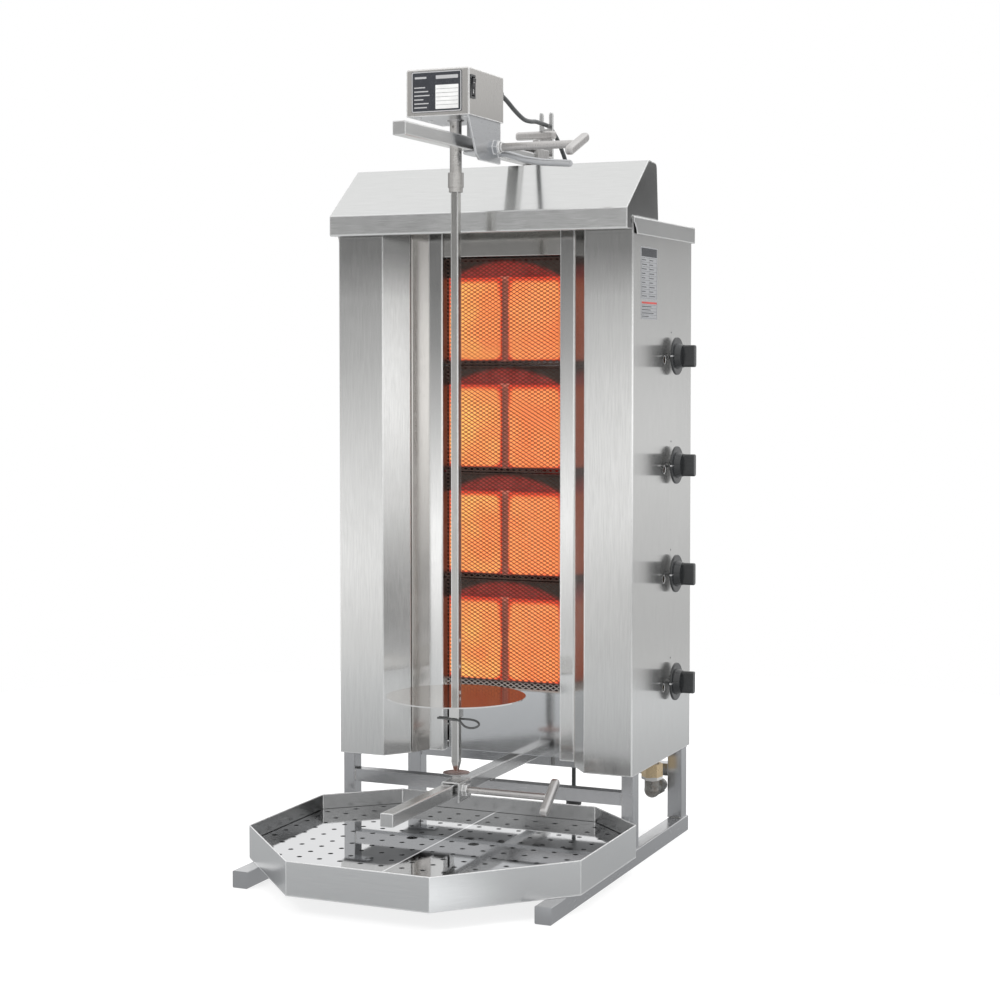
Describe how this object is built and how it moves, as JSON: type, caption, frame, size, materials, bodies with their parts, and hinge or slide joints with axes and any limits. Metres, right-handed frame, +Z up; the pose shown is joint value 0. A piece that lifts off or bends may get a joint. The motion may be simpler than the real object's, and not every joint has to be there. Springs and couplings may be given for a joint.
{
  "type": "vertical rotisserie broiler",
  "caption": "Upright gas rotisserie broiler: stacked glowing burners behind mesh between steel wings, motor-driven spit with disc, eight-sided drip tray, open tube base.",
  "frame": {"origin": "on the floor, under the middle of the bounding box: the body's symmetry plane is at X -0.0115 and its front face at Y 0.055", "axes": "+X to the operator's right, +Y away from the operator towards the back, +Z up"},
  "size_m": [0.557, 0.742, 1.204],
  "materials": {
    "brushed_casing": "brushed stainless sheet, grain along the height",
    "brushed_roof": "brushed stainless sheet, grain along the width",
    "mirror_steel": "polished stainless sheet",
    "frame_tube": "satin stainless square tube with ground welds",
    "plain_steel": "satin stainless",
    "burner_steel": "heat-tinted steel",
    "ceramic": "porous glowing ceramic plaque",
    "mesh_steel": "heat-tinted expanded metal",
    "brass": "turned brass",
    "pipe_steel": "drawn steel pipe",
    "pipe_alu": "bent aluminium pipe",
    "probe": "probe sheath",
    "label": "blank printed plate",
    "cable": "rubber cable sheath",
    "box_steel": "fine brushed stainless box",
    "motor": "cast gear case",
    "bronze": "sintered bronze",
    "black_plastic": "black moulded plastic",
    "stem_steel": "turned steel",
    "spit_steel": "drawn stainless bar",
    "disc_steel": "polished stainless disc",
    "clip_wire": "spring wire",
    "clamp_steel": "satin stainless",
    "tray_steel": "brushed stainless sheet, grain along the width",
    "plate_steel": "polished perforated stainless sheet"
  },
  "bodies": {
    "body": {"base_frame": "frame_tube", "lower_arm": "frame_tube", "casing_left": "brushed_casing", "casing_right": "brushed_casing", "reflector_left": "mirror_steel", "reflector_right": "mirror_steel", "rail_left": "brushed_casing", "rail_right": "brushed_casing", "roof_lid": "brushed_roof", "hood": "brushed_roof", "back_panel": "brushed_casing", "base_pan": "plain_steel", "lower_reflector": "mirror_steel", "upper_plate": "brushed_casing", "burner_housings": "burner_steel", "ceramic_tiles": "ceramic", "mesh_guards": "mesh_steel", "gas_manifold": "pipe_steel", "gas_valves": "brass", "feed_pipes": "pipe_alu", "injectors": "brass", "thermocouples": "probe", "gas_inlet": "brass", "arm_mast": "frame_tube", "upper_arm": "frame_tube", "rating_plates": "label", "casing_screws": "plain_steel", "power_cable": "cable"},
    "motor_carriage": {"motor_bracket": "box_steel", "motor_casing": "box_steel", "gear_motor": "motor", "shaft_bushing": "bronze", "switch_bezel": "black_plastic", "motor_plate": "label", "cable_lead": "cable"},
    "rocker": {"switch_rocker": "black_plastic"},
    "spindle": {"drive_shaft": "spit_steel", "spit_rod": "spit_steel"},
    "coupling": {"coupling_sleeve": "spit_steel"},
    "disc": {"spit_disc": "disc_steel"},
    "clip": {"disc_clip": "clip_wire"},
    "lower_pivot": {"lower_clamp": "clamp_steel", "pivot_cup": "clamp_steel"},
    "arm_pad": {"arm_pad": "clamp_steel"},
    "arm_screw": {"arm_screw": "clamp_steel"},
    "carriage_pad": {"carriage_pad": "clamp_steel"},
    "carriage_screw": {"carriage_screw": "clamp_steel"},
    "lower_pad": {"lower_pad": "clamp_steel"},
    "lower_screw": {"lower_screw": "clamp_steel"},
    "tray": {"drip_tray": "tray_steel"},
    "plate_left": {"perforated_plate_left": "plate_steel"},
    "plate_right": {"perforated_plate_right": "plate_steel"},
    "stem_1": {"valve_stem_1": "stem_steel"},
    "knob_1": {"knob_1": "black_plastic"},
    "stem_2": {"valve_stem_2": "stem_steel"},
    "knob_2": {"knob_2": "black_plastic"},
    "stem_3": {"valve_stem_3": "stem_steel"},
    "knob_3": {"knob_3": "black_plastic"},
    "stem_4": {"valve_stem_4": "stem_steel"},
    "knob_4": {"knob_4": "black_plastic"}
  },
  "joints": [
    {"name": "carriage_slide", "type": "slide", "parent": "body", "child": "motor_carriage", "axis": [0, -1, 0], "range_m": [-0.04, 0.15]},
    {"name": "lower_pivot_slide", "type": "slide", "parent": "body", "child": "lower_pivot", "axis": [0, -1, 0], "range_m": [-0.04, 0.15]},
    {"name": "spit_spin", "type": "hinge", "parent": "motor_carriage", "child": "spindle", "pos_m": [-0.0115, -0.04, 1.1], "axis": [0, 0, 1], "continuous": true},
    {"name": "coupling_lift", "type": "slide", "parent": "spindle", "child": "coupling", "axis": [0, 0, 1], "range_m": [0, 0.022]},
    {"name": "disc_lift", "type": "slide", "parent": "spindle", "child": "disc", "axis": [0, 0, 1], "range_m": [0, 0.12]},
    {"name": "clip_pull", "type": "slide", "parent": "spindle", "child": "clip", "axis": [1, 0, 0], "range_m": [0, 0.075]},
    {"name": "arm_pad_slide", "type": "slide", "parent": "body", "child": "arm_pad", "axis": [0, 0, 1], "range_m": [0, 0.002]},
    {"name": "arm_screw_turn", "type": "hinge", "parent": "arm_pad", "child": "arm_screw", "pos_m": [0.0105, 0.225, 1.12], "axis": [0, 0, 1], "range_deg": [0, 480]},
    {"name": "carriage_pad_slide", "type": "slide", "parent": "motor_carriage", "child": "carriage_pad", "axis": [1, 0, 0], "range_m": [0, 0.004]},
    {"name": "carriage_screw_turn", "type": "hinge", "parent": "carriage_pad", "child": "carriage_screw", "pos_m": [0.0885, -0.006, 1.095], "axis": [1, 0, 0], "range_deg": [0, 823]},
    {"name": "lower_pad_slide", "type": "slide", "parent": "lower_pivot", "child": "lower_pad", "axis": [1, 0, 0], "range_m": [0, 0.0012]},
    {"name": "lower_screw_turn", "type": "hinge", "parent": "lower_pad", "child": "lower_screw", "pos_m": [0.0685, -0.049, 0.122], "axis": [1, 0, 0], "range_deg": [0, 288.1]},
    {"name": "rocker_tilt", "type": "hinge", "parent": "motor_carriage", "child": "rocker", "pos_m": [0.0371, -0.0936, 1.1755], "axis": [0, -1, 0], "range_deg": [0, 12]},
    {"name": "tray_slide", "type": "slide", "parent": "body", "child": "tray", "axis": [0, -1, 0], "range_m": [0, 0.3]},
    {"name": "plate_left_lift", "type": "slide", "parent": "tray", "child": "plate_left", "axis": [0, 0, 1], "range_m": [0, 0.028]},
    {"name": "plate_right_lift", "type": "slide", "parent": "tray", "child": "plate_right", "axis": [0, 0, 1], "range_m": [0, 0.028]},
    {"name": "knob_1_push", "type": "slide", "parent": "body", "child": "stem_1", "axis": [-1, 0, 0], "range_m": [0, 0.003], "stiffness_N_per_m": 1200},
    {"name": "knob_1_turn", "type": "hinge", "parent": "stem_1", "child": "knob_1", "pos_m": [0.2585, 0.238, 0.26], "axis": [1, 0, 0], "range_deg": [0, 180]},
    {"name": "knob_2_push", "type": "slide", "parent": "body", "child": "stem_2", "axis": [-1, 0, 0], "range_m": [0, 0.003], "stiffness_N_per_m": 1200},
    {"name": "knob_2_turn", "type": "hinge", "parent": "stem_2", "child": "knob_2", "pos_m": [0.2585, 0.238, 0.4333], "axis": [1, 0, 0], "range_deg": [0, 180]},
    {"name": "knob_3_push", "type": "slide", "parent": "body", "child": "stem_3", "axis": [-1, 0, 0], "range_m": [0, 0.003], "stiffness_N_per_m": 1200},
    {"name": "knob_3_turn", "type": "hinge", "parent": "stem_3", "child": "knob_3", "pos_m": [0.2585, 0.238, 0.6067], "axis": [1, 0, 0], "range_deg": [0, 180]},
    {"name": "knob_4_push", "type": "slide", "parent": "body", "child": "stem_4", "axis": [-1, 0, 0], "range_m": [0, 0.003], "stiffness_N_per_m": 1200},
    {"name": "knob_4_turn", "type": "hinge", "parent": "stem_4", "child": "knob_4", "pos_m": [0.2585, 0.238, 0.78], "axis": [1, 0, 0], "range_deg": [0, 180]}
  ],
  "couplings": [
    {"joint": "lower_pivot_slide", "follows": "carriage_slide", "ratio": 1},
    {"joint": "arm_screw_turn", "follows": "arm_pad_slide", "rad_per_m": 4188.8},
    {"joint": "carriage_screw_turn", "follows": "carriage_pad_slide", "rad_per_m": 3590.4},
    {"joint": "lower_screw_turn", "follows": "lower_pad_slide", "rad_per_m": 4188.8}
  ]
}
